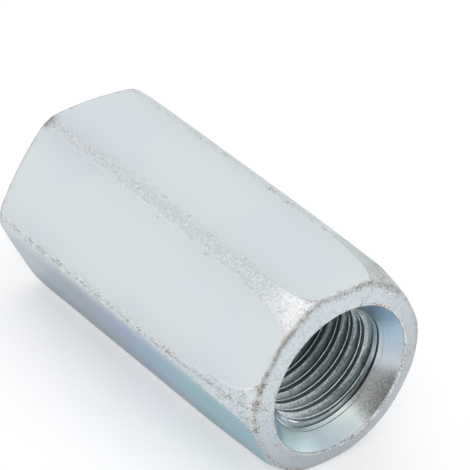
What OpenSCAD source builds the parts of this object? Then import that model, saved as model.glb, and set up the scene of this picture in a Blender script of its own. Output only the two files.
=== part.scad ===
// Coupling nut: a long hexagon nut, cold formed in one piece and tapped right through.
// Millimetres. The thread axis is X, the nut lies on one flat, and the deeper-cut end points to +X.

/* [Hexagon] */
// Distance between two opposite flats
across_flats = 23.7; // [15:0.1:36]
// Length from end to end
nut_length = 48.5; // [30:0.5:80]
// Radius of the six rounded long edges
arris_r = 1.4; // [0.6:0.1:2.5]

/* [Thread] */
// Nominal diameter of the thread
thread_d = 16; // [10:1:18]
// Pitch of the thread
thread_pitch = 2; // [1:0.25:2.5]

/* [Mouths] */
// How far the mouth of the countersink stands outside the thread
mouth_rim = 1.6; // [0.8:0.1:2]
// Included angle of the countersink
countersink_angle = 72; // [60:1:100]
// Width of the flat ring left around the mouth
land_w = 0.8; // [0.3:0.1:1]
// Rounding between the end face and the corner slope
shoulder_r = 0.9; // [0.4:0.1:1.2]

/* [End at +X] */
// Slope of the end face outside the flat ring
punch_face_angle = 15; // [8:1:25]
// How much of each corner is missing at the end
punch_corner_cut = 1.6; // [0.8:0.1:2]
// Length over which the corners run out to full size
punch_corner_run = 4.4; // [3:0.1:9]

/* [End at -X] */
// Slope of the end face outside the flat ring
die_face_angle = 20; // [10:1:25]
// How much of each corner is missing at the end
die_corner_cut = 0.3; // [0.2:0.05:1]
// Length over which the corners run out to full size
die_corner_run = 2.4; // [2:0.1:5]

/* [Hidden] */
// Tapping hole: five eighths of the sharp thread height below the nominal radius
bore_r = thread_d / 2 - 5 / 8 * thread_pitch * cos(30);
mouth_r = thread_d / 2 + mouth_rim;
mouth_depth = (mouth_r - bore_r) / tan(countersink_angle / 2);
land_r = mouth_r + land_w;
// The flats end where the rounded edges begin
arris_axis = across_flats / 2 - arris_r;
flat_w = 2 * arris_axis * tan(30);
corner_r = arris_axis / cos(30) + arris_r;
half_length = nut_length / 2;
shoulder_steps = 6;
over = 1;
$fn = 96;

function unit(v) = v / norm(v);
function turned(v, a) = [v.x * cos(a) - v.y * sin(a), v.x * sin(a) + v.y * cos(a)];

// Arc of radius r that is tangent to the legs from v to a and from v to b
function rounded(a, v, b, r) =
    let (
        to_a = unit(a - v),
        to_b = unit(b - v),
        half = acos(to_a * to_b) / 2,
        middle = v + unit(to_a + to_b) * r / sin(half),
        first = v + to_a * r / tan(half) - middle,
        sweep = sign(cross(to_b, to_a)) * (180 - 2 * half)
    )
    [for (i = [0 : shoulder_steps]) middle + turned(first, sweep * i / shoulder_steps)];

// Outline of one end as [radius, depth]: flat ring, sloping face, shoulder, corner slope.
// The corner slope runs on past the corners, so that it meets the long edges at an angle.
function end_outline(face_angle, cut, run) =
    let (
        rise = 1 / tan(face_angle),
        shoulder_depth = (corner_r - cut - land_r) / (rise - cut / run),
        rim = [land_r, 0],
        shoulder = [land_r + shoulder_depth * rise, shoulder_depth],
        runout = [corner_r + cut, 2 * run]
    )
    concat([rim], rounded(rim, shoulder, runout, shoulder_r), [runout]);

module rounded_hexagon() {
    for (k = [0 : 2])
        rotate(60 * k)
            square([across_flats, flat_w], center = true);
    for (k = [0 : 5])
        rotate(60 * k + 30)
            translate([arris_axis / cos(30), 0])
                circle(r = arris_r);
}

// Turned envelope that shapes both ends
module end_envelope() {
    punch = end_outline(punch_face_angle, punch_corner_cut, punch_corner_run);
    die = end_outline(die_face_angle, die_corner_cut, die_corner_run);
    upper = [for (p = punch) [p.x, half_length - p.y]];
    lower = [for (i = [len(die) - 1 : -1 : 0]) [die[i].x, die[i].y - half_length]];
    rotate_extrude()
        polygon(concat([[0, half_length]], upper, lower, [[0, -half_length]]));
}

// Tapping hole with a countersink at each end
module bore_void() {
    over_r = mouth_r + over * tan(countersink_angle / 2);
    rotate_extrude()
        polygon([
            [0, -half_length - over],
            [over_r, -half_length - over],
            [bore_r, mouth_depth - half_length],
            [bore_r, half_length - mouth_depth],
            [over_r, half_length + over],
            [0, half_length + over]
        ]);
}

// The whole nut, built upright and then laid on a flat
module nut_body() {
    color([0.80, 0.82, 0.84])
        translate([0, 0, across_flats / 2])
            rotate([0, 90, 0])
                difference() {
                    intersection() {
                        linear_extrude(height = nut_length + 2 * over, center = true)
                            rounded_hexagon();
                        end_envelope();
                    }
                    bore_void();
                }
}

nut_body();
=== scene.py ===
import math

import bmesh
import bpy
import numpy as np
from mathutils import Matrix, Vector, noise


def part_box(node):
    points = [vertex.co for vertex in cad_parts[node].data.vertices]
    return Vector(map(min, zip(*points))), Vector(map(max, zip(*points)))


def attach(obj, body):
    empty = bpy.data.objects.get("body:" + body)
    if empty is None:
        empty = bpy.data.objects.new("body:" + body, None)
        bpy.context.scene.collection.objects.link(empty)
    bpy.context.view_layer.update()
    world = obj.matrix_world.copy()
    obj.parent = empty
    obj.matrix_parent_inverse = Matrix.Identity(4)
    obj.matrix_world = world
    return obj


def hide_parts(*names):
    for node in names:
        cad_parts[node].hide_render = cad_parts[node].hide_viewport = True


mm = 0.001  # everything below is in metres
fullTurn = 2 * math.pi
sixth = math.pi / 3
cos30 = math.cos(sixth / 2)
tiny = 1e-6

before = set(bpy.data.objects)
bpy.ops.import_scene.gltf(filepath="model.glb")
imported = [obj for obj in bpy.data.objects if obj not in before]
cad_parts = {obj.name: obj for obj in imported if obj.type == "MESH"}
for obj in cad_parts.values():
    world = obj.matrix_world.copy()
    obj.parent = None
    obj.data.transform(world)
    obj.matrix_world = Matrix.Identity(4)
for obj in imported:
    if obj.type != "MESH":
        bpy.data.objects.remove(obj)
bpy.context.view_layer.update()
print("frame loaded:", list(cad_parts))

lowCorner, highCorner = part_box("nut_body")
nutLength = highCorner[0] - lowCorner[0]
halfLength = nutLength / 2
toFlat = (highCorner[2] - lowCorner[2]) / 2  # from the thread axis to a flat
axisHeight = toFlat  # the nut lies on a flat, thread axis along X
slots = {"skin": 0, "countersink": 1, "thread": 2}  # order of the finishes on the nut

# outer skin: six flats, rounded long edges, sloping end faces
skin = {
    "arrisRadius": 1.4 * mm,
    "flatColumns": 16,  # columns across half a flat
    "flatCrowd": 1.5,  # above 1 they stand closer together beside the edge
    "arrisColumns": 8,  # columns across one rounded edge
    "middleRows": 14,
    "endRows": 46,
    "rowsPlain": 0.9 / mm,  # how densely the rows of an end stand
    "rowsAtCrease": (22 / mm, 0.4 * mm),  # how many more, and over what width
    "rowsAtMeet": (7 / mm, 0.8 * mm),  # likewise where a corner runs out
    "fineDepth": 2 * mm,  # an end is reckoned in fine steps down to here
    "fineSteps": 500,
    "coarseSteps": 700,
    "mouthRadius": 9.62 * mm,
    "mouthShift": 0.12 * mm,  # the countersink sits a little off the thread axis
    "mouthShiftSide": math.radians(-80),
    "mouthRound": 0.16 * mm,
    "lipInside": (0.6, 0.3),  # rows of the rounded lip, in parts of mouthRound
    "lipOutside": [(0.35, 0.06), (1.2, 0)],
    "landRows": (0.35, 0.6, 0.85),  # rows on the flat ring, in parts of its width
    "countersinkAngle": math.radians(72),
    "rimDepth": 0.17 * mm,  # where the skin hands over to the countersink
    "endRound": 0.3 * mm,  # softness of the edge between a flat and the end
    "taperRound": 0.13 * mm,  # softness of the edge between a flat and a badly filled corner
    "roundFade": (0.8 * mm, 3 * mm),  # depth at which the first passes into the second
    "taperBlend": 0.4 * mm,
    "sideBlend": 0.16,  # radians either way in which the two sides of a corner mix
    "unevenRadius": 12 * mm,
    "faceWobble": 0.1 * mm,
    "wobbleSize": 5 * mm,
    "rumple": 0.045 * mm,
    "rumpleSize": 1.6 * mm,
    "rumpleMarks": 40,
    "rumpleStart": (0.2 * mm, 1.5 * mm),
    "creaseWidth": 0.34 * mm,
    "creaseDepth": 0.08 * mm,
    "creaseBite": 0.2 * mm,  # half width of the sunk line
    "creaseUneven": (0.75, 0.5),  # steady and varying part of its depth
    "creaseLump": 1.1 * mm,
    "grainReach": 0.9 * mm,  # half width of the grainy band on a long edge
    "grainFar": 0.78,  # part of it that is left towards the far end
    "grainGrows": (-20 * mm, 8 * mm),
    "grainFade": (0.3, 2),  # in parts of the reach
    "flatShadeReach": 2.8 * mm,  # how far the painted shade reaches onto the flats beside a long edge
    "edgeSpeck": 0.45,
    # where brown specks gather along each long edge: distance from the edge, width, amount
    # a distance below zero puts them on one side only
    "edgeSpecks": [
        (0.8 * mm, 0.6 * mm, 0.75),
        (1.0 * mm, 0.5 * mm, 0.78),
        (1.2 * mm, 0.4 * mm, 0.64),
        (-0.3 * mm, 0.45 * mm, 1.2),
        (0.5 * mm, 0.6 * mm, 0.5),
        (0.8 * mm, 0.6 * mm, 0.75),
    ],
}
# the end in view: each corner has a blunt turned nose and a long badly filled facet behind it
# corners are counted from +Y towards +Z, and a cut has one value for each of its two sides
punchEnd = {
    "landRadius": 10.43 * mm,
    "faceAngle": math.radians(15),
    "faceBlend": 0.95 * mm,
    "noseCut": [
        (1.6 * mm, 1.6 * mm),
        (1.6 * mm, 1.35 * mm),
        (1.0 * mm, 1.4 * mm),
        (1.45 * mm, 1.35 * mm),
        (1.3 * mm, 1.3 * mm),
        (1.6 * mm, 1.6 * mm),
    ],
    "noseRun": 4.5 * mm,
    "taperCut": [
        (0.4 * mm, 0.4 * mm),
        (0.55 * mm, 1.08 * mm),
        (0.74 * mm, 0.74 * mm),
        (1.03 * mm, 0.98 * mm),
        (0.95 * mm, 0.95 * mm),
        (0.4 * mm, 0.4 * mm),
    ],
    "taperRun": 14 * mm,
    "facetTurn": [0, 0, math.radians(9), 0, 0, 0],  # one facet is turned towards the flat below it
    "settled": 19 * mm,  # from here on only the plain sides are left
    # a value every 30 degrees
    "creaseDark": [0.3, 0.25, 0.45, 0.25, 0.75, 1.0, 0.4, 0.35, 0.45, 0.3, 0.3, 0.3],
    "stain": [1.2, 1.0, 1.35, 0.95, 0.85, 1.0, 1.25, 0.95, 1.05, 1.05, 1.2, 1.25],
    # a burnished corner gets a painted highlight on its facet and a thin painted shade beside it; a rubbed
    # lip gets a painted highlight
    "burnishSheen": [0, 0, 0, 0, 1, 0, 0, 0, 0, 0, 0, 0],
    "lipRubSheen": [0.8, 0.4, 0.2, 0.2, 0.2, 0.2, 0.2, 0.3, 0.4, 0.6, 0.9, 1.0],
    "seed": 3.7,
}
dieEnd = {
    "landRadius": 10.43 * mm,
    "faceAngle": math.radians(20),
    "faceBlend": 0.5 * mm,
    "noseCut": [(0.36 * mm, 0.36 * mm)] * 6,
    "noseRun": 2.4 * mm,
    "taperCut": [(0.1 * mm, 0.1 * mm)] * 6,
    "taperRun": 6 * mm,
    "facetTurn": None,  # corners here are turned, not faceted
    "settled": 10 * mm,
    "creaseDark": [0.3, 0.3, 0.4, 0.35, 0.75, 0.7, 0.7, 0.4, 0.3, 0.3, 0.3, 0.3],
    "stain": [0.75, 0.6, 0.75, 0.55, 0.85, 0.6, 1.0, 0.6, 0.75, 0.6, 0.75, 0.6],
    "edgeStain": 0.9,
    "edgeStainFade": (1.5 * mm, 4 * mm),
    "smear": [0, 0, 1.2, 0.4, 0, 0],  # brown smear on each corner
    "smearAcross": (0.7 * mm, 1.5 * mm),
    "smearAlong": (0.9 * mm, 2.6 * mm),
    "burnishSheen": [0] * 12,
    "lipRubSheen": [0.4] * 12,
    "seed": 9.1,
}
# wear on both ends: amounts, widths, and the depth over which each fades out
# meet is the line where a corner runs out into the side
wear = {
    "ringEdge": (-0.15 * mm, 0.25 * mm),
    "facetFade": 0.06,  # in parts of the facet's length
    "grain": 0.85,
    "grainWidth": 0.6 * mm,
    "lipSpeck": 0.95,
    "lipSpeckWidth": 0.5 * mm,
    "ringSpeck": 0.46,
    "creaseSpeckWidth": 0.9 * mm,
    "facetSpeck": 0.75,
    "facetSpeckLoss": 0.6,
    "facetSpeckFade": (1.5 * mm, 9 * mm),
    "meetSpeck": 0.95,
    "meetSpeckWidth": 0.5 * mm,
    "meetSpeckFade": (4 * mm, 13 * mm),
    # rubbed places are smoother and carry painted highlights; shade is a thin painted shadow line
    "meetRubSheen": 0.5,
    "meetRubSheenAt": 0.35 * mm,
    "meetRubSheenWidth": 0.25 * mm,
    "meetRubSheenFade": (4 * mm, 9 * mm),
    "burnishSheenFade": (2.5 * mm, 7 * mm),
    "lipRubSheenWidth": 0.13 * mm,
    "shade": 0.45,
    "shadeAt": 0.1 * mm,
    "shadeWidth": 0.13 * mm,
    "shadeFade": (5 * mm, 12 * mm),
}


def softMin(a, b, width):
    h = np.clip(0.5 + 0.5 * (b - a) / width, 0, 1)
    return b * (1 - h) + a * h - width * h * (1 - h)


def ease(value, low, high):
    t = np.clip((value - low) / (high - low), 0, 1)
    return t * t * (3 - 2 * t)


def fade(value, low, high):
    return 1 - ease(value, low, high)


def hump(value, width):
    return np.exp(-(value / width) ** 2)


def runningSum(steps):
    return np.concatenate([[0], np.cumsum(steps)])


def around(x, radius, angle):
    return x, radius * math.cos(angle), axisHeight + radius * math.sin(angle)


def fromCorner(angles):
    return (angles + sixth / 2) % sixth - sixth / 2


def columnAngles():
    tangent = sixth / 2 - math.atan2((toFlat - skin["arrisRadius"]) * math.tan(sixth / 2), toFlat)
    arris = np.linspace(-tangent, tangent, skin["arrisColumns"] + 1)
    spread = np.linspace(0, 1, skin["flatColumns"] + 1)[1:] ** skin["flatCrowd"]
    flat = tangent + (sixth / 2 - tangent) * spread
    sector = np.concatenate([-flat[-2::-1], arris, flat])
    return np.concatenate([sector + k * sixth for k in range(6)])


def hexRadius(angles):
    off = np.abs(fromCorner(angles))
    arris = skin["arrisRadius"]
    centre = (toFlat - arris) / cos30
    flat = toFlat / np.cos(sixth / 2 - off)
    bulge = centre * np.cos(off) + np.sqrt(np.maximum(arris ** 2 - (centre * np.sin(off)) ** 2, 0))
    reach = toFlat * np.tan(sixth / 2 - off)
    onFlat = reach <= (toFlat - arris) * math.tan(sixth / 2) + tiny * mm
    return np.where(onFlat, flat, bulge)


def sideValue(pairs, angle):
    k = round(angle / sixth)
    before, after = pairs[k % 6]
    share = float(ease(angle - k * sixth, -skin["sideBlend"], skin["sideBlend"]))
    return before * (1 - share) + after * share


def facetSpread(turns, angle):
    # how a flat facet's radius grows away from the middle of its corner
    if turns is None:
        return 1
    k = round(angle / sixth)
    turn = turns[k % 6]
    return math.cos(turn) / math.cos(angle - k * sixth - turn)


def uneven(angle, depth, end, size):
    # slow unevenness of a cold formed surface
    radius = skin["unevenRadius"]
    spot = Vector((radius * math.cos(angle), radius * math.sin(angle), depth)) / size
    return noise.noise(spot + Vector((end["seed"], 0, 0)))


def roundTheEnd(values, angle):
    # the values stand at even steps round the end
    place = angle % fullTurn / fullTurn * len(values)
    return np.interp(place, range(len(values) + 1), values + values[:1])


def mouthAt(angle):
    return skin["mouthRadius"] + skin["mouthShift"] * math.cos(angle - skin["mouthShiftSide"])


def endColumn(end, angle, corner, outer):
    # radius and depth from the countersink, over the mouth, out along the face and down the side
    land = end["landRadius"] + skin["faceWobble"] * uneven(angle, 0, end, skin["wobbleSize"])
    rise = 1 / math.tan(end["faceAngle"])
    noseCut = sideValue(end["noseCut"], angle)
    taperCut = sideValue(end["taperCut"], angle)
    fine = np.linspace(0, skin["fineDepth"], skin["fineSteps"])
    coarse = np.linspace(skin["fineDepth"], end["settled"], skin["coarseSteps"])
    depth = np.concatenate([fine, coarse[1:]])
    face = land + depth * rise
    spread = facetSpread(end["facetTurn"], angle)
    nose = corner - noseCut * (1 - depth / end["noseRun"])
    taper = spread * (corner - taperCut * (1 - depth / end["taperRun"]))
    envelope = softMin(softMin(face, nose, end["faceBlend"]), taper, skin["taperBlend"])
    marks = np.linspace(0, end["settled"], skin["rumpleMarks"])
    lumps = [uneven(angle, d, end, skin["rumpleSize"]) for d in marks]
    envelope += skin["rumple"] * np.interp(depth, marks, lumps) * ease(depth, *skin["rumpleStart"])
    keen = skin["taperRound"]
    soft = keen + (skin["endRound"] - keen) * fade(depth, *skin["roundFade"])
    side = softMin(envelope, np.full(len(depth), outer), soft)
    meet = depth[np.argmax(envelope >= outer)]
    turn = min((corner - noseCut - land) / (rise - noseCut / end["noseRun"]), meet)

    # rows crowd together at the crease and where the corner runs out into the side
    length = runningSum(np.hypot(np.diff(side), np.diff(depth)))
    crowd = np.full(len(length), skin["rowsPlain"])
    for spot, (more, width) in ((turn, skin["rowsAtCrease"]), (meet, skin["rowsAtMeet"])):
        crowd += more * hump(length - np.interp(spot, depth, length), width)
    tally = runningSum((crowd[1:] + crowd[:-1]) / 2 * np.diff(length))
    rows = np.interp(np.linspace(0, tally[-1], skin["endRows"]), tally, depth)

    mouth = mouthAt(angle)
    lean = math.tan(skin["countersinkAngle"] / 2)
    lip = skin["mouthRound"]
    inside = [skin["rimDepth"]] + [part * lip for part in skin["lipInside"]]
    start = [(mouth - d * lean, d) for d in inside]
    start += [(mouth + out * lip, down * lip) for out, down in skin["lipOutside"]]
    start += [(mouth + (land - mouth) * part, 0) for part in skin["landRows"]]
    path = np.concatenate([np.array(start), np.stack([np.interp(rows, depth, side), rows], 1)])

    # masks for the finish: the face ring and the badly filled corner come first
    along = runningSum(np.hypot(*np.diff(path, axis=0).T))
    behind = path[:, 1]
    skip = len(start)
    fromLip = along - along[len(inside)]
    fromTurn = along - np.interp(turn, behind[skip:], along[skip:])
    fromMeet = along - np.interp(meet, behind[skip:], along[skip:])
    ring = fade(fromTurn, *wear["ringEdge"])
    facetEnd = meet + wear["facetFade"] * (meet - turn) + tiny
    facet = np.where(behind > turn, fade(behind, meet, facetEnd), 0)
    grain = np.maximum(facet, wear["grain"] * hump(fromTurn, wear["grainWidth"]))

    # brown specks on lip, ring, crease and corner, and where the corner runs out
    onLip = wear["lipSpeck"] * hump(fromLip, wear["lipSpeckWidth"])
    onRing = wear["ringSpeck"] * ring
    onCrease = hump(fromTurn, wear["creaseSpeckWidth"])
    onFacet = 1 - wear["facetSpeckLoss"] * ease(behind, *wear["facetSpeckFade"])
    onFacet = wear["facetSpeck"] * facet * onFacet
    onMeet = wear["meetSpeck"] * hump(fromMeet, wear["meetSpeckWidth"])
    onMeet = onMeet * fade(behind, *wear["meetSpeckFade"])
    speck = np.maximum.reduce([onLip, onRing, onCrease, onFacet, onMeet])
    speck *= roundTheEnd(end["stain"], angle)

    # rubbed places beside the corner, on a burnished corner and on the lip, smoother and with painted
    # highlights
    burnishSheen = roundTheEnd(end["burnishSheen"], angle)
    rubSheenMeet = wear["meetRubSheen"] * hump(fromMeet - wear["meetRubSheenAt"], wear["meetRubSheenWidth"])
    rubSheenMeet = rubSheenMeet * fade(behind, *wear["meetRubSheenFade"])
    rubSheenFacet = burnishSheen * facet * fade(behind, *wear["burnishSheenFade"])
    rubSheenLip = roundTheEnd(end["lipRubSheen"], angle) * hump(fromLip, wear["lipRubSheenWidth"])
    rubSheen = np.maximum.reduce([rubSheenMeet, rubSheenFacet, rubSheenLip])

    # painted shade, brownish, in the crease where the face ends, which is also sunk a little, and a thin
    # painted shade beside a burnished corner
    dark = roundTheEnd(end["creaseDark"], angle)
    crease = dark * hump(fromTurn, skin["creaseWidth"])
    if fromCorner(angle) < 0:
        shade = wear["shade"] * burnishSheen * fade(behind, *wear["shadeFade"])
        shade = shade * hump(fromMeet - wear["shadeAt"], wear["shadeWidth"])
        crease = np.maximum(crease, shade)
    slope = np.gradient(path, axis=0)
    slope /= np.linalg.norm(slope, axis=1)[:, None] + tiny * tiny
    steady, varying = skin["creaseUneven"]
    bite = skin["creaseDepth"] * (steady + varying * uneven(angle, 0, end, skin["creaseLump"]))
    sunk = bite * dark * hump(fromTurn, skin["creaseBite"])
    path = path - np.stack([slope[:, 1], -slope[:, 0]], 1) * sunk[:, None]
    return path, {"grain": grain, "ring": ring, "crease": crease, "speck": speck, "rubSheen": rubSheen}


def buildSkin():
    angles = columnAngles()
    radii = hexRadius(angles)
    corner = radii.max()
    columns = []
    masks = {name: [] for name in ("grain", "ring", "crease", "speck", "rubSheen", "soft")}
    for angle, outer in zip(angles, radii):
        near, nearMasks = endColumn(punchEnd, angle, corner, outer)
        far, farMasks = endColumn(dieEnd, angle, corner, outer)
        nearX = halfLength - near[:, 1]
        farX = far[::-1, 1] - halfLength
        middle = np.linspace(nearX[-1], farX[0], skin["middleRows"] + 2)[1:-1]
        plain = np.zeros(len(middle))
        x = np.concatenate([nearX, middle, farX])
        radius = np.concatenate([near[:, 0], plain + outer, far[::-1, 0]])
        columns.append(np.stack(around(x, radius, angle), 1))
        joined = {}
        for name, values in nearMasks.items():
            joined[name] = np.concatenate([values, plain, farMasks[name][::-1]])

        # long edges: grainy, with specks, and painted shade on the flats beside them
        k = round(angle / sixth) % 6
        off = abs(fromCorner(angle)) * corner
        least = skin["grainFar"]
        reach = skin["grainReach"] * (least + (1 - least) * ease(x, *skin["grainGrows"]))
        core, rim = skin["grainFade"]
        arris = fade(off, core * reach, rim * reach)
        joined["grain"] = np.maximum(joined["grain"], arris)
        joined["soft"] = np.full(len(x), hump(off, skin["flatShadeReach"]))
        away, width, amount = skin["edgeSpecks"][k]
        gap = fromCorner(angle) * corner if away < 0 else off
        onEdge = np.maximum(skin["edgeSpeck"] * arris, amount * hump(gap - away, width))

        # brown stain on the corners of the far end
        fromFar = halfLength + x
        atEnd = dieEnd["edgeStain"] * roundTheEnd(dieEnd["stain"], angle) * arris
        atEnd = atEnd * fade(fromFar, *dieEnd["edgeStainFade"])
        smear = dieEnd["smear"][k] * fade(off, *dieEnd["smearAcross"])
        smear = smear * fade(fromFar, *dieEnd["smearAlong"]) * (1 - joined["ring"])
        joined["crease"] = np.maximum(joined["crease"], smear)
        joined["speck"] = np.maximum.reduce([joined["speck"], onEdge, atEnd])
        for name, values in masks.items():
            values.append(joined[name])
    points = np.array(columns)
    count, rows = points.shape[:2]
    faces = []
    for j in range(count):
        k = (j + 1) % count
        for i in range(rows - 1):
            faces.append((j * rows + i, j * rows + i + 1, k * rows + i + 1, k * rows + i))
    mesh = bpy.data.meshes.new("nutSkin")
    mesh.from_pydata(points.reshape(-1, 3).tolist(), [], faces)
    for name, values in masks.items():
        layer = mesh.attributes.new(name, "FLOAT", "POINT")
        layer.data.foreach_set("value", np.array(values, np.float32).ravel())
    print("skin built:", count, "columns,", rows, "rows")
    return mesh, angles


# thread cutter and the sleeve it cuts
# a turn gives the cosines of the angle from a side between which it comes in
thread = {
    "diameter": 16 * mm,
    "pitch": 2 * mm,
    "depth": 0.625,  # of the height of the basic triangle
    "crestHalf": 0.125,  # of the pitch, as are the next five
    "rootHalf": 0.0625,
    "rootFloor": 0.03,
    "midFlank": 0.3,
    "lipRound": 0.022,
    "phase": 0.335,
    "crestCut": 0.2 * mm,  # crests are a little flatter than the basic form
    "crestGroove": 0.08 * mm,
    "stepsPerTurn": 120,
    "spareTurns": 3,
    "sleeveRadius": 10.6 * mm,
    "coreRadius": 6.4 * mm,
    "coneRows": 9,
    "stepRadius": 7.84 * mm,  # small step where the countersink meets the tapped hole
    "stepLength": (0.16 * mm, 0.38 * mm),
    "stepSide": math.radians(15),
    "stepTurn": (0.1, 1),
    "leadAngle": (math.radians(37), math.radians(87)),  # cone on one side, flat shoulder on the other
    "leadSide": math.radians(-75),
    "leadTurn": (0.2, 0.75),
    "scoreRadius": 8.12 * mm,  # ring that the countersink's tip scored on one side
    "scoreLength": 0.1 * mm,
    "scoreLeast": 0.1,  # part of the length that is left elsewhere
    "scoreSide": math.radians(-82),
    "scoreTurn": (0.78, 0.95),
}


def threadProfile():
    # place along the pitch and radius, over one pitch from the middle of a crest
    pitch = thread["pitch"]
    flank = pitch * math.tan(sixth)
    major = thread["diameter"] / 2
    minor = major - thread["depth"] * pitch * cos30 + thread["crestCut"]
    crest = thread["crestHalf"] + thread["crestCut"] / flank
    root = 0.5 - thread["rootHalf"]
    middle = thread["midFlank"]
    groove = thread["crestGroove"]
    lip = thread["lipRound"]
    half = [
        (0.0, minor + groove),  # shallow groove along the crest
        (0.74 * crest, minor + 0.97 * groove),
        (0.83 * crest, minor + 0.7 * groove),
        (0.92 * crest, minor),
        (crest + 0.4 * lip, minor + 0.25 * lip * flank),  # rounded lip
        (crest + lip, minor + lip * flank),
        (middle, minor + (middle - crest) * flank),
        (root - lip, major - lip * flank),  # rounded root
        (root - 0.2 * lip, major - 0.35 * lip * flank),
        (0.5 - thread["rootFloor"], major),
    ]
    return half + [(1 - s, r) for s, r in half[:0:-1]]


def addSlots(mesh, finish):
    for name in slots:
        mesh.materials.append(None)
    mesh.polygons.foreach_set("material_index", finish)


def buildScrew():
    profile = threadProfile()
    pitch = thread["pitch"]
    steps = thread["stepsPerTurn"]
    turns = round(nutLength / pitch) + thread["spareTurns"]
    places = [(n + s, r) for n in range(turns) for s, r in profile]
    start = (thread["phase"] - turns / 2) * pitch
    perTurn = len(profile)
    rows = len(places)
    points = []
    for j in range(steps):
        angle = fullTurn * j / steps
        for s, r in places:
            x = start + (s + j / steps) * pitch  # right-hand: moves to +X while turning from +Y to +Z
            points.append(around(x, r, angle))
    faces = []
    for j in range(steps - 1):
        for i in range(rows - 1):
            a = j * rows + i
            faces.append((a, a + rows, a + rows + 1, a + 1))
    seam = (steps - 1) * rows  # the last column joins the first one, a turn further on
    for i in range(rows - 1 - perTurn):
        faces.append((seam + i, perTurn + i, perTurn + i + 1, seam + i + 1))
    lowTip = len(points)
    points.append((start - pitch, 0, axisHeight))
    points.append((start + (turns + 1) * pitch, 0, axisHeight))
    lowLoop = [j * rows for j in range(steps)] + list(range(perTurn, 0, -1))
    highLoop = [j * rows + rows - 1 for j in range(steps - 1)]
    highLoop += [seam + i for i in range(rows - 1, rows - 2 - perTurn, -1)]
    for tip, loop in ((lowTip, lowLoop), (lowTip + 1, highLoop)):
        for a, b in zip(loop, loop[1:] + loop[:1]):
            faces.append((tip, a, b))
    mesh = bpy.data.meshes.new("threadScrew")
    mesh.from_pydata(points, [], faces)
    addSlots(mesh, [slots["thread"]] * len(faces))
    return mesh


def onSide(angle, side, turn):
    return float(ease(math.cos(angle - side), *turn))


def mouthOutline(angle):
    # depth and radius from the mouth to the core of the thread, before the thread is cut
    lean = math.tan(skin["countersinkAngle"] / 2)
    mouth = mouthAt(angle)
    score = thread["scoreRadius"]
    step = thread["stepRadius"]
    core = thread["coreRadius"]
    least = thread["scoreLeast"]
    scoreDepth = (mouth - score) / lean
    scored = onSide(angle, thread["scoreSide"], thread["scoreTurn"])
    scoreEnd = scoreDepth + thread["scoreLength"] * (least + (1 - least) * scored)
    stepDepth = scoreEnd + (score - step) / lean
    short, long = thread["stepLength"]
    stepEnd = stepDepth + short + (long - short) * onSide(angle, thread["stepSide"], thread["stepTurn"])
    slim, flat = thread["leadAngle"]
    lead = slim + (flat - slim) * onSide(angle, thread["leadSide"], thread["leadTurn"])
    deep = stepEnd + (step - core) / math.tan(lead)
    depths = np.linspace(skin["rimDepth"], scoreDepth, thread["coneRows"])
    inner = [(d, mouth - d * lean) for d in depths]
    return inner + [(scoreEnd, score), (stepDepth, step), (stepEnd, step), (deep, core)]


def buildSleeve(angles):
    points = []
    for angle in angles:
        inner = mouthOutline(angle)
        outline = [(halfLength - inner[0][0], thread["sleeveRadius"])]
        outline += [(halfLength - d, r) for d, r in inner]
        outline += [(d - halfLength, r) for d, r in reversed(inner)]
        outline.append((inner[0][0] - halfLength, thread["sleeveRadius"]))
        points += [around(x, r, angle) for x, r in outline]
    rows = len(outline)
    core = len(inner)
    count = len(angles)
    faces = []
    finish = []
    for j in range(count):
        k = (j + 1) % count
        for i in range(rows):
            n = (i + 1) % rows
            faces.append((j * rows + i, k * rows + i, k * rows + n, j * rows + n))
            onCone = 0 < i < 2 * core and i != core
            onStep = abs(i - core) in (2, 4)  # the small step and the scored ring are finished as thread
            finish.append(slots["countersink"] if onCone and not onStep else slots["thread"])
    mesh = bpy.data.meshes.new("boreSleeve")
    mesh.from_pydata(points, [], faces)
    addSlots(mesh, finish)
    return mesh


def placed(name, data):
    piece = bpy.data.objects.new(name, data)
    bpy.context.scene.collection.objects.link(piece)
    return piece


def facesOut(mesh):
    work = bmesh.new()
    work.from_mesh(mesh)
    bmesh.ops.recalc_face_normals(work, faces=work.faces)
    work.to_mesh(mesh)
    work.free()
    return mesh


def cutBore(angles):
    sleeve = placed("boreSleeve", facesOut(buildSleeve(angles)))
    screw = placed("threadScrew", facesOut(buildScrew()))
    cut = sleeve.modifiers.new("tap", "BOOLEAN")
    cut.operation = "DIFFERENCE"
    cut.solver = "EXACT"
    cut.object = screw
    graph = bpy.context.evaluated_depsgraph_get()
    bore = bpy.data.meshes.new_from_object(sleeve.evaluated_get(graph))
    bpy.data.objects.remove(sleeve)
    bpy.data.objects.remove(screw)

    # keep the inside only
    work = bmesh.new()
    work.from_mesh(bore)
    rimX = halfLength - skin["rimDepth"]
    spare = []
    for face in work.faces:
        centre = face.calc_center_median()
        radius = math.hypot(centre.y, centre.z - axisHeight)
        if radius > skin["mouthRadius"] + skin["mouthShift"] or abs(centre.x) > rimX - tiny:
            spare.append(face)
    bmesh.ops.delete(work, geom=spare, context="FACES")
    work.to_mesh(bore)
    work.free()
    print("bore cut:", len(bore.polygons), "faces")
    return bore


whole = {
    "weld": 0.002 * mm,  # points of skin and bore closer than this become one
    "sharpFrom": math.radians(26),
    "normalWeight": 60,
}


def buildNut():
    mesh, angles = buildSkin()
    bore = cutBore(angles)
    work = bmesh.new()
    work.from_mesh(mesh)
    work.from_mesh(bore)
    bmesh.ops.remove_doubles(work, verts=work.verts, dist=whole["weld"])
    bmesh.ops.recalc_face_normals(work, faces=work.faces)
    work.to_mesh(mesh)
    work.free()
    mesh.polygons.foreach_set("use_smooth", [True] * len(mesh.polygons))
    mesh.set_sharp_from_angle(angle=whole["sharpFrom"])
    nut = placed("couplingNut", mesh)
    even = nut.modifiers.new("evenNormals", "WEIGHTED_NORMAL")
    even.keep_sharp = True
    even.weight = whole["normalWeight"]
    print("nut built:", len(mesh.polygons), "faces")
    return nut


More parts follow.
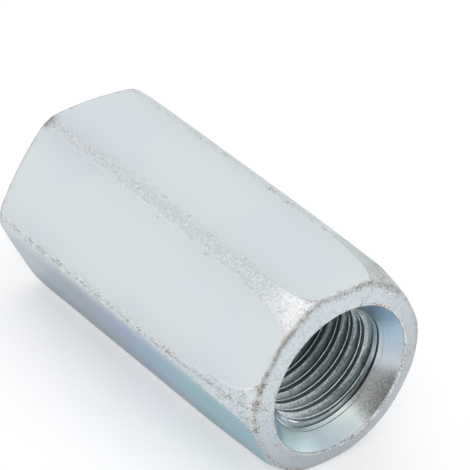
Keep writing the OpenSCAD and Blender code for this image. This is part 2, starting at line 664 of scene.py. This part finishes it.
class Board:
    # a material, and shorthand for its nodes
    def __init__(self, name):
        self.material = bpy.data.materials.new(name)
        self.material.use_nodes = True
        self.tree = self.material.node_tree

    def add(self, kind, **settings):
        node = self.tree.nodes.new(kind)
        for name, value in settings.items():
            setattr(node, name, value)
        return node

    def put(self, socket, value):
        if isinstance(value, bpy.types.NodeSocket):
            self.tree.links.new(value, socket)
        else:
            socket.default_value = value

    def calc(self, operation, a, b=0.0):
        node = self.add("ShaderNodeMath", operation=operation)
        self.put(node.inputs[0], a)
        self.put(node.inputs[1], b)
        return node.outputs[0]

    def times(self, a, b):
        return self.calc("MULTIPLY", a, b)

    def plus(self, a, b):
        return self.calc("ADD", a, b)

    def minus(self, a, b):
        return self.calc("SUBTRACT", a, b)

    def most(self, a, b):
        return self.calc("MAXIMUM", a, b)

    def span(self, value, low, high, toLow=0.0, toHigh=1.0):
        node = self.add("ShaderNodeMapRange", interpolation_type="SMOOTHSTEP")
        for socket, entry in zip(node.inputs, (value, low, high, toLow, toHigh)):
            self.put(socket, entry)
        return node.outputs[0]

    def noise(self, place, scale, detail=2.0, rough=0.5):
        node = self.add("ShaderNodeTexNoise")
        self.put(node.inputs["Vector"], place)
        node.inputs["Scale"].default_value = scale
        node.inputs["Detail"].default_value = detail
        node.inputs["Roughness"].default_value = rough
        return node.outputs[0]

    def sway(self, place, *settings):
        # noise that goes both ways from nought
        return self.minus(self.noise(place, *settings), 0.5)

    def blend(self, share, a, b):
        node = self.add("ShaderNodeMix", data_type="RGBA")
        self.put(node.inputs[0], share)
        self.put(node.inputs[6], a)
        self.put(node.inputs[7], b)
        return node.outputs[2]

    def mask(self, name):
        return self.add("ShaderNodeAttribute", attribute_name=name).outputs["Fac"]

    def ramp(self, value, stops):
        node = self.add("ShaderNodeValToRGB")
        bar = node.color_ramp.elements
        while len(bar) < len(stops):
            bar.new(0.5)
        for entry, (place, color) in zip(bar, stops):
            entry.position = place
            entry.color = color
        self.put(node.inputs[0], value)
        return node.outputs[0]

    def axes(self, place):
        node = self.add("ShaderNodeSeparateXYZ")
        self.put(node.inputs[0], place)
        return node.outputs

    def dot(self, value, side):
        node = self.add("ShaderNodeVectorMath", operation="DOT_PRODUCT")
        self.put(node.inputs[0], value)
        node.inputs[1].default_value = side
        return node.outputs["Value"]

    def towards(self, place, side):
        # distance from the thread axis towards one side
        return self.minus(self.dot(place, side), axisHeight * side[2])

    def bump(self, height, distance, strength=1.0):
        node = self.add("ShaderNodeBump")
        node.inputs["Strength"].default_value = strength
        node.inputs["Distance"].default_value = distance
        self.put(node.inputs["Height"], height)
        return node.outputs[0]


def newMetal(name):
    board = Board(name)
    coords = board.add("ShaderNodeTexCoord").outputs
    return board, coords["Object"], coords["Normal"]


def finished(board, color, rough, relief):
    shader = board.tree.nodes["Principled BSDF"].inputs
    shader["Metallic"].default_value = 1
    board.put(shader["Base Color"], color)
    board.put(shader["Roughness"], rough)
    board.put(shader["Normal"], relief)
    return board.material


# finish of the outer skin
# here and below a noise is its scale, detail and roughness
# a span is two values, then how strong something is at each of them if not 0 and 1
zinc = {
    "flatGrey": (0.745, 0.81, 0.825, 1),
    "flatLavender": (0.735, 0.785, 0.85, 1),
    "cloudNoise": (55, 2),
    "cloudSpan": (0.38, 0.68),
    "flatEdgeShade": (0.52, 0.56, 0.57, 1),
    "flatEdgeShadeSpan": (0.3, 0.7, 0.14, 0.26),
    # film, with painted shade on the lower front flat
    "filmAndShading": [
        (0.0, (0.38, 0.445, 0.49, 1)),
        (0.3, (0.34, 0.40, 0.48, 1)),
        (0.55, (0.30, 0.40, 0.60, 1)),
        (0.8, (0.265, 0.515, 0.57, 1)),
        (1.0, (0.23, 0.485, 0.545, 1)),
    ],
    "filmShadingSide": (0, -cos30, -0.5),
    "filmSpan": (0.72, 0.97),
    "filmOnGrain": (0, 0.8, 1, 0.6),
    "filmDown": (0, 0.5, -cos30),  # down along the flat that has the film
    "filmTop": (-6.6 * mm, -2.5 * mm, 0.58, 1),
    "driftNoise": (130, 2),
    "drift": 0.5,
    "washStretch": (0.4, 1, 1),
    "washNoise": (700, 4, 0.6),
    "filmViolet": (0.385, 0.365, 0.55, 1),
    "violetSpan": (0.46, 0.68, 0, 0.55),
    "filmTeal": (0.26, 0.49, 0.49, 1),
    "tealSpan": (0.3, 0.5, 0.55, 0),
    "filmShadeDark": (0.185, 0.245, 0.305, 1),
    "darkDown": (0.5 * mm, 6.8 * mm, 0, 0.75),
    "lowEdgeShade": 0.75,
    "lowEdgeShadeFrom": (0.52, 0.75),
    "lowEdgeShadeTo": (0.9, 0.99, 1, 0),
    # grain
    "grainDull": (0.46, 0.505, 0.505, 1),
    "grainLight": (0.765, 0.80, 0.805, 1),
    "grainShare": 0.52,
    "grainSpan": (0.25, 1.05),
    "pebbleNoise": (3000, 3, 0.6),
    "pebbleSpan": (0.35, 0.65),
    "patchNoise": (420, 2),
    "patchPull": 1.2,
    "raggedNoise": (1700, 3),
    "raggedPull": 1.1,
    "cornerFilm": (0.50, 0.56, 0.565, 1),
    "cornerAcross": (2 * mm, 7 * mm),
    "cornerAlong": (10 * mm, 18 * mm),
    "edgeShade": (0.24, 0.265, 0.27, 1),
    "edgeShadeSide": (0, cos30, 0.5),
    "edgeShadeSpan": (0.92, 0.985, 0, 0.6),
    # end ring with painted shade on one side, and rubbed places with painted highlights
    "ringPale": (0.625, 0.685, 0.715, 1),
    "ringShade": (0.44, 0.485, 0.515, 1),
    "ringShadeSide": (0, 0.45, -0.89),
    "ringShadeSpan": (-9.5 * mm, 8.5 * mm),
    "ringMottle": (0.42, 0.47, 0.51, 1),
    "ringMottleSpan": (0.48, 0.62, 0, 0.5),
    "ringShare": 0.9,
    "rubbedSheen": (0.97, 0.97, 0.985, 1),
    "rubbedSheenDull": (0.78, 0.80, 0.825, 1),
    "rubSheenOnFilm": (0, 0.5, 1, 0),
    # specks, painted glints, and the crease with its painted shade
    "fineNoise": (5600, 3, 0.6),
    "clusterNoise": (750, 2),
    "clusterPull": 0.5,
    "speckPull": 0.24,
    "speckBrown": (0.275, 0.245, 0.205, 1),
    "speckSpan": (0.51, 0.64),
    "speckShare": 0.85,
    "speckGlint": (0.90, 0.89, 0.86, 1),
    "paleSpan": (-0.45, -0.33),
    "paleShare": 0.6,
    "glintSpan": (0.34, 0.42, 0.75, 0),
    "creaseShadeBrown": (0.21, 0.185, 0.15, 1),
    "creaseNoise": (1500, 3, 0.6),
    "creaseSpan": (0.25, 0.6, 0.25, 1.0),
    "creaseShare": 0.8,
    # gloss and relief
    "roughness": 0.3,
    "grainRough": 0.1,  # more where it is grainy
    "ringGrain": 0.8,
    "rubSmooth": (0, 1, 1, 0.6),
    "fineRelief": 0.5,
    "speckPit": 0.4,
    "bump": (0.1 * mm, 0.6),
}


def zincSkin():
    board, place, normal = newMetal("zincSkin")
    apart = board.axes(place)
    ring = board.mask("ring")

    # soft clouds on the flats, and painted shade beside the long edges
    clouds = board.noise(place, *zinc["cloudNoise"])
    color = board.blend(board.span(clouds, *zinc["cloudSpan"]), zinc["flatGrey"], zinc["flatLavender"])
    soft = board.times(board.mask("soft"), board.span(clouds, *zinc["flatEdgeShadeSpan"]))
    color = board.blend(soft, color, zinc["flatEdgeShade"])

    # blue passivation film on the lower front flat, with painted shade that is darker towards the floor
    # and along its lower edge
    filmAndShading = board.span(board.dot(normal, zinc["filmShadingSide"]), *zinc["filmSpan"])
    drift = board.times(board.sway(place, *zinc["driftNoise"]), zinc["drift"])
    along = board.plus(board.span(apart["X"], -halfLength, halfLength), drift)
    filmShadingTone = board.ramp(along, zinc["filmAndShading"])
    drawn = board.add("ShaderNodeVectorMath", operation="MULTIPLY")
    board.put(drawn.inputs[0], place)
    drawn.inputs[1].default_value = zinc["washStretch"]
    wash = board.noise(drawn.outputs[0], *zinc["washNoise"])
    filmShadingTone = board.blend(board.span(wash, *zinc["violetSpan"]), filmShadingTone, zinc["filmViolet"])
    filmShadingTone = board.blend(board.span(wash, *zinc["tealSpan"]), filmShadingTone, zinc["filmTeal"])
    low = board.dot(normal, (0, 0, -1))
    lowEdgeShade = board.times(board.span(low, *zinc["lowEdgeShadeFrom"]), board.span(low, *zinc["lowEdgeShadeTo"]))
    down = board.towards(place, zinc["filmDown"])
    lowShade = board.most(board.times(lowEdgeShade, zinc["lowEdgeShade"]), board.span(down, *zinc["darkDown"]))
    filmShadingTone = board.blend(lowShade, filmShadingTone, zinc["filmShadeDark"])

    # pebbled grain where the die never quite filled, thinner film on it
    pebble = board.noise(place, *zinc["pebbleNoise"])
    patches = board.times(board.sway(place, *zinc["patchNoise"]), zinc["patchPull"])
    ragged = board.times(board.sway(place, *zinc["raggedNoise"]), zinc["raggedPull"])
    grainy = board.plus(board.mask("grain"), board.plus(patches, ragged))
    grainy = board.span(grainy, *zinc["grainSpan"])
    grainTone = board.blend(board.span(pebble, *zinc["pebbleSpan"]), zinc["grainDull"], zinc["grainLight"])
    filmAndShading = board.times(filmAndShading, board.span(grainy, *zinc["filmOnGrain"]))
    filmAndShading = board.times(filmAndShading, board.span(down, *zinc["filmTop"]))
    color = board.blend(filmAndShading, color, filmShadingTone)
    color = board.blend(board.times(grainy, zinc["grainShare"]), color, grainTone)
    farSide = board.times(grainy, board.span(apart["Y"], *zinc["cornerAcross"]))
    farSide = board.times(farSide, board.span(apart["X"], *zinc["cornerAlong"]))
    color = board.blend(farSide, color, zinc["cornerFilm"])
    # painted shade on the grainy edges that turn towards +Y and up
    turned = board.span(board.dot(normal, zinc["edgeShadeSide"]), *zinc["edgeShadeSpan"])
    color = board.blend(board.times(grainy, turned), color, zinc["edgeShade"])

    # painted shade: the end ring is darker on the side away from the light
    shadedSide = board.span(board.towards(place, zinc["ringShadeSide"]), *zinc["ringShadeSpan"])
    ringTone = board.blend(shadedSide, zinc["ringPale"], zinc["ringShade"])
    ringTone = board.blend(board.span(pebble, *zinc["ringMottleSpan"]), ringTone, zinc["ringMottle"])
    color = board.blend(board.times(ring, zinc["ringShare"]), color, ringTone)

    # rubbed places with painted highlights, not on the film
    rubSheen = board.times(board.mask("rubSheen"), board.span(filmAndShading, *zinc["rubSheenOnFilm"]))
    rubbedSheenTone = board.blend(board.span(pebble, *zinc["pebbleSpan"]), zinc["rubbedSheenDull"], zinc["rubbedSheen"])
    color = board.blend(rubSheen, color, rubbedSheenTone)

    # brown specks in clusters along the edges, and pale specks and glints painted as highlights
    fine = board.noise(place, *zinc["fineNoise"])
    cluster = board.times(board.sway(place, *zinc["clusterNoise"]), zinc["clusterPull"])
    thick = board.times(board.minus(board.mask("speck"), 1.0), zinc["speckPull"])
    crowd = board.plus(cluster, thick)
    pale = board.span(board.minus(crowd, fine), *zinc["paleSpan"])
    glint = board.times(board.span(fine, *zinc["glintSpan"]), grainy)
    pale = board.most(board.times(pale, zinc["paleShare"]), glint)
    color = board.blend(pale, color, zinc["speckGlint"])
    speck = board.span(board.plus(fine, crowd), *zinc["speckSpan"])
    color = board.blend(board.times(speck, zinc["speckShare"]), color, zinc["speckBrown"])

    # painted shade, brownish, in the crease where the end face turns into the sides, and brown smears on
    # the far corners
    broken = board.span(board.noise(place, *zinc["creaseNoise"]), *zinc["creaseSpan"])
    line = board.times(board.mask("crease"), broken)
    color = board.blend(board.times(line, zinc["creaseShare"]), color, zinc["creaseShadeBrown"])

    rough = board.most(grainy, board.times(ring, zinc["ringGrain"]))
    dull = board.times(board.most(rough, line), zinc["grainRough"])
    smooth = board.span(rubSheen, *zinc["rubSmooth"])
    gloss = board.plus(board.times(dull, smooth), zinc["roughness"])
    relief = board.times(board.plus(pebble, board.times(fine, zinc["fineRelief"])), rough)
    relief = board.times(relief, smooth)
    relief = board.minus(relief, board.times(speck, zinc["speckPit"]))
    return finished(board, color, gloss, board.bump(relief, *zinc["bump"]))


turnSqueeze = 0.6 * mm  # what a radian counts for, so that patterns are drawn out along the cut


def turnedPlace(board, place, pitch):
    # place on a turned surface: squeezed along the cut, fine across it; also the radius
    apart = board.axes(place)
    y = apart["Y"]
    height = board.minus(apart["Z"], axisHeight)
    turn = board.calc("ARCTAN2", height, y)
    lead = board.times(turn, pitch / fullTurn)
    radius = board.calc("SQRT", board.plus(board.times(height, height), board.times(y, y)))
    both = board.add("ShaderNodeCombineXYZ")
    board.put(both.inputs[0], board.minus(apart["X"], lead))
    board.put(both.inputs[1], radius)
    board.put(both.inputs[2], board.times(turn, turnSqueeze))
    return both.outputs[0], radius


# finish of the countersinks
cone = {
    "pale": (0.60, 0.67, 0.68, 1),
    "blue": (0.55, 0.64, 0.69, 1),
    "cloudNoise": (130, 2),
    "cloudSpan": (0.4, 0.65),
    "filmAndShading": [
        (0.0, (0.48, 0.60, 0.655, 1)),
        (0.2, (0.84, 0.90, 0.855, 1)),
        (0.4, (0.60, 0.60, 0.57, 1)),
        (0.65, (0.57, 0.61, 0.64, 1)),
        (0.83, (0.52, 0.595, 0.68, 1)),
        (0.95, (0.45, 0.62, 0.77, 1)),
        (1.0, (0.43, 0.69, 0.93, 1)),
    ],
    "filmShadingSide": (0, 0.5, 0.87),
    "filmShare": 0.8,
    "driftNoise": (240, 2),
    "drift": 0.15,
    # painted pale blue light on the shaded side, deepest blue towards its middle
    "shadeBlue": (0.77, 0.96, 1.0, 1),
    "shadeSide": (0, -0.94, -0.34),
    "shadeSpan": (3.5 * mm, 7.5 * mm),
    "deepBlue": (0.34, 0.58, 0.80, 1),
    "deepSpan": (0.93, 0.995, 0, 0.7),
    "grey": (0.50, 0.55, 0.55, 1),
    "greySpan": (0.5, 0.8, 0, 0.35),
    "streakNoise": (3600, 3, 0.6),
    "arcReach": (7.95 * mm, 8.4 * mm, 1, 0),
    "arcSpan": (0.44, 0.6, 0, 0.45),
    "shoulderDull": (0.34, 0.40, 0.42, 1),
    "shoulderEdge": 0.1 * mm,
    "shoulderSpan": (-1 * mm, 5 * mm, 0.85, 0),
    "scuffSpan": (0.4, 0.58, 0.3, 0.85),
    "grit": (0.27, 0.25, 0.23, 1),
    "gritShare": 0.6,
    "gritSpan": (0.66, 0.78),
    "gritMore": 0.06,  # on the side of the painted dark reflection, and again by the mouth
    "darkReflection": (0.115, 0.12, 0.115, 1),
    "patchSide": (0, 0.80, -0.60),
    "patchSideSpan": (0.89, 0.99),
    "fineNoise": (4000, 3, 0.6),
    "darkReflectionSpan": (0.35, 0.65, 0.42, 0.68),
    "darkReflectionRim": 0.28,
    "rimFrom": 8.2 * mm,
    "roughSpan": (0.3, 0.7, 0.27, 0.36),
    "shoulderRough": 0.6,
    "mottleNoise": (3000, 2),
    "mottleRelief": 0.3,
    "streakRelief": 0.5,
    "bump": (0.014 * mm, 0.5),
}


def zincCountersink():
    board, place, _ = newMetal("zincCountersink")
    turned, radius = turnedPlace(board, place, 0)
    reach = skin["mouthRadius"]

    # painted light and shade: a film tone that changes from the lower to the upper side, with painted pale
    # blue light on the shaded side and deeper blue towards its middle
    clouds = board.noise(place, *cone["cloudNoise"])
    color = board.blend(board.span(clouds, *cone["cloudSpan"]), cone["pale"], cone["blue"])
    drift = board.times(board.sway(place, *cone["driftNoise"]), cone["drift"])
    across = board.span(board.towards(place, cone["filmShadingSide"]), -reach, reach)
    filmShadingTone = board.ramp(board.plus(across, drift), cone["filmAndShading"])
    color = board.blend(cone["filmShare"], color, filmShadingTone)
    toShade = board.towards(place, cone["shadeSide"])
    color = board.blend(board.span(toShade, *cone["shadeSpan"]), color, cone["shadeBlue"])
    deepSide = board.span(board.calc("DIVIDE", toShade, radius), *cone["deepSpan"])
    color = board.blend(deepSide, color, cone["deepBlue"])

    # marks of turning, and fine arcs beside the thread
    streak = board.noise(turned, *cone["streakNoise"])
    color = board.blend(board.span(streak, *cone["greySpan"]), color, cone["grey"])
    arcs = board.span(streak, *cone["arcSpan"])
    arcs = board.times(board.span(radius, *cone["arcReach"]), arcs)
    color = board.blend(arcs, color, cone["shoulderDull"])

    # shoulder before the first turn, scuffed on one side and dull elsewhere
    leadSide = (0, math.cos(thread["leadSide"]), math.sin(thread["leadSide"]))
    step = thread["stepRadius"]
    shoulder = board.span(radius, step - cone["shoulderEdge"], step, 1, 0)
    dull = board.span(board.towards(place, leadSide), *cone["shoulderSpan"])
    dull = board.most(dull, board.span(streak, *cone["scuffSpan"]))
    color = board.blend(board.times(shoulder, dull), color, cone["shoulderDull"])

    # painted dark reflection by the mouth on one side, with grit specks
    patchSide = board.calc("DIVIDE", board.towards(place, cone["patchSide"]), radius)
    patchSide = board.span(patchSide, *cone["patchSideSpan"])
    rim = board.span(radius, cone["rimFrom"], reach)
    fine = board.noise(place, *cone["fineNoise"])
    darkReflected = board.span(fine, *cone["darkReflectionSpan"])
    darkReflected = board.plus(board.times(rim, cone["darkReflectionRim"]), darkReflected)
    color = board.blend(board.times(patchSide, darkReflected), color, cone["darkReflection"])
    gritty = board.times(patchSide, cone["gritMore"])
    gritty = board.plus(gritty, board.times(rim, cone["gritMore"]))
    grit = board.span(board.plus(fine, gritty), *cone["gritSpan"])
    color = board.blend(board.times(grit, cone["gritShare"]), color, cone["grit"])

    rough = board.span(streak, *cone["roughSpan"])
    rough = board.most(rough, board.times(shoulder, cone["shoulderRough"]))
    mottle = board.times(board.noise(place, *cone["mottleNoise"]), cone["mottleRelief"])
    relief = board.plus(board.times(streak, cone["streakRelief"]), mottle)
    return finished(board, color, rough, board.bump(relief, *cone["bump"]))


# finish of the thread
steel = {
    "light": (0.93, 1.0, 1.0, 1),
    "dark": (0.27, 0.355, 0.395, 1),
    "toneSpan": (0.38, 0.6),
    "streakNoise": (6000, 3, 0.6),
    "patchNoise": (2600, 3, 0.6),
    "patchPull": 0.5,
    # painted light on the lower side of the thread, painted shade above
    "lowerLight": (0.96, 1.0, 1.0, 1),
    "lowerLightSide": (0, -0.4, -0.92),
    "lowerLightSpan": (3 * mm, 6.5 * mm),
    "lowerLightPatches": (-0.12, 0.08, 0.2, 0.8),
    # radii and leans tell crest, flank and root apart
    "flank": (0.91, 0.98, 0.98, 1),
    "threadShade": (0.13, 0.175, 0.195, 1),
    "flankRadius": (7.25 * mm, 7.8 * mm, 0, 0.7),
    "flankLightSpan": (-4 * mm, 5 * mm),
    # painted shade in the roots, painted dark reflection on the crests, painted highlights on the lips
    "levelLean": (0.2, 0.5, 1, 0),
    "root": (0.055, 0.07, 0.085, 1),
    "rootRadius": (7.7 * mm, 7.8 * mm),
    "rootFloor": (7.9 * mm, 7.98 * mm),
    "rootShadeShare": 0.92,
    "crest": (0.22, 0.275, 0.295, 1),
    "crestLight": (0.68, 0.77, 0.79, 1),
    "crestLightSpan": (3 * mm, 7 * mm),
    "crestRadius": (7.22 * mm, 7.3 * mm, 1, 0),
    "crestReflectionShare": 0.8,
    "lip": (0.90, 0.93, 0.94, 1),
    "lipFrom": (0.2, 0.4),
    "lipTo": (0.6, 0.8, 1, 0),
    "lipRadius": (7.18 * mm, 7.3 * mm, 1, 0),
    "wornGlintNoise": (2500, 2),
    "wornGlintSpan": (0.35, 0.55, 0.35, 1.0),
    # distances from the middle of the nut, and from the axis towards a side
    # painted shade on the turns further in and on the upper side of the first turn
    "deepSpan": (10 * mm, 19 * mm, 0.6, 0),
    "deepAbove": (0, 6 * mm, 1, 0),
    "dull": (0.27, 0.325, 0.345, 1),
    "shadedSide": (0, 0.62, 0.78),
    "upperShadeSpan": (2 * mm, 6 * mm, 0, 0.65),
    "firstTurn": (19 * mm, 21 * mm),
    "roughSpan": (0.3, 0.7, 0.36, 0.5),
    "bump": (0.03 * mm, 0.7),
}


def threadSteel():
    board, place, normal = newMetal("threadSteel")
    turned, radius = turnedPlace(board, place, thread["pitch"])
    streak = board.noise(turned, *steel["streakNoise"])
    patch = board.sway(place, *steel["patchNoise"])
    tone = board.plus(streak, board.times(patch, steel["patchPull"]))
    color = board.blend(board.span(tone, *steel["toneSpan"]), steel["dark"], steel["light"])

    # painted light and shade on the flanks: light patches below, and lighter below and darker above, more
    # so towards the roots
    towardsLowerLight = board.towards(place, steel["lowerLightSide"])
    lowerLight = board.span(patch, *steel["lowerLightPatches"])
    lowerLight = board.times(board.span(towardsLowerLight, *steel["lowerLightSpan"]), lowerLight)
    color = board.blend(lowerLight, color, steel["lowerLight"])
    below = board.span(towardsLowerLight, *steel["flankLightSpan"])
    flank = board.blend(below, steel["threadShade"], steel["flank"])
    color = board.blend(board.span(radius, *steel["flankRadius"]), color, flank)

    # painted shade in the roots, painted dark reflection on the crests, lighter below, and painted
    # highlights on the worn lips beside the crests
    lean = board.calc("ABSOLUTE", board.dot(normal, (1, 0, 0)))
    level = board.span(lean, *steel["levelLean"])
    root = board.times(level, board.span(radius, *steel["rootRadius"]))
    root = board.most(root, board.span(radius, *steel["rootFloor"]))
    color = board.blend(board.times(root, steel["rootShadeShare"]), color, steel["root"])
    crest = board.times(level, board.span(radius, *steel["crestRadius"]))
    crestReflectionTone = board.span(towardsLowerLight, *steel["crestLightSpan"])
    crestReflectionTone = board.blend(crestReflectionTone, steel["crest"], steel["crestLight"])
    color = board.blend(board.times(crest, steel["crestReflectionShare"]), color, crestReflectionTone)
    edge = board.times(board.span(lean, *steel["lipFrom"]), board.span(lean, *steel["lipTo"]))
    edge = board.times(edge, board.span(radius, *steel["lipRadius"]))
    wornGlint = board.span(board.noise(turned, *steel["wornGlintNoise"]), *steel["wornGlintSpan"])
    color = board.blend(board.times(edge, wornGlint), color, steel["lip"])

    # painted shade: turns further in are darker except on the lower side, and the first one is darker on
    # the upper side
    fromMiddle = board.calc("ABSOLUTE", board.axes(place)["X"])
    deep = board.span(fromMiddle, *steel["deepSpan"])
    deep = board.times(deep, board.span(towardsLowerLight, *steel["deepAbove"]))
    color = board.blend(deep, color, steel["threadShade"])
    first = board.span(fromMiddle, *steel["firstTurn"])
    upper = board.span(board.towards(place, steel["shadedSide"]), *steel["upperShadeSpan"])
    color = board.blend(board.times(first, upper), color, steel["dull"])
    rough = board.span(streak, *steel["roughSpan"])
    return finished(board, color, rough, board.bump(streak, *steel["bump"]))


# white studio table, lamp and camera
studio = {
    "floorSize": 3.0,
    "floorColor": (0.8, 0.8, 0.81, 1),
    "floorGlow": 0.32,
    "roomColor": (0.90, 0.90, 0.90, 1),
    "lampPower": 0.25,
    "lampWidth": 0.66,
    "lampFrom": (0.03, -0.4, 0.66),
    "cameraFrom": (212.21 * mm, -185.84 * mm, 205.77 * mm),
    "cameraRight": (0.62665, 0.77568, 0.07504),
    "cameraUp": (-0.47165, 0.30086, 0.82887),
    "lens": 224.1,
    "clipStart": 0.01,
}


def buildTable():
    size = studio["floorSize"]
    mesh = bpy.data.meshes.new("tableTop")
    corners = [(-size, -size, 0), (size, -size, 0), (size, size, 0), (-size, size, 0)]
    mesh.from_pydata(corners, [], [(0, 1, 2, 3)])
    floor = placed("tableTop", mesh)
    board = Board("tablePaper")
    board.tree.nodes.clear()
    out = board.add("ShaderNodeOutputMaterial")
    paper = board.add("ShaderNodeBsdfDiffuse")
    paper.inputs["Color"].default_value = studio["floorColor"]
    glow = board.add("ShaderNodeEmission")
    rays = board.add("ShaderNodeLightPath")
    seen = board.most(rays.outputs["Is Camera Ray"], rays.outputs["Is Glossy Ray"])
    seen = board.most(seen, rays.outputs["Is Transmission Ray"])
    board.put(glow.inputs["Strength"], board.times(seen, studio["floorGlow"]))
    both = board.add("ShaderNodeAddShader")
    board.put(both.inputs[0], paper.outputs[0])
    board.put(both.inputs[1], glow.outputs[0])
    board.put(out.inputs["Surface"], both.outputs[0])
    mesh.materials.append(board.material)


def buildRoom():
    world = bpy.data.worlds.new("studioRoom")
    bpy.context.scene.world = world
    world.use_nodes = True
    world.node_tree.nodes["Background"].inputs["Color"].default_value = studio["roomColor"]

    lamp = bpy.data.lights.new("softBox", "AREA")
    lamp.shape = "DISK"
    lamp.size = studio["lampWidth"]
    lamp.energy = studio["lampPower"]
    placed("softBox", lamp).location = studio["lampFrom"]


def buildCamera():
    camera = bpy.data.cameras.new("studioCamera")
    camera.lens = studio["lens"]
    camera.clip_start = studio["clipStart"]
    right = Vector(studio["cameraRight"]).normalized()
    up = Vector(studio["cameraUp"])
    up = (up - right * up.dot(right)).normalized()
    turn = Matrix((right, up, right.cross(up))).transposed().to_4x4()
    eye = placed("studioCamera", camera)
    eye.matrix_world = Matrix.Translation(studio["cameraFrom"]) @ turn
    bpy.context.scene.camera = eye


nut = buildNut()
for finish in (zincSkin(), zincCountersink(), threadSteel()):
    nut.data.materials.append(finish)
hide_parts("nut_body")
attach(nut, "root")
print("finishes on")

buildTable()
buildRoom()
buildCamera()
bpy.context.scene.view_settings.view_transform = "Standard"
print("studio set")
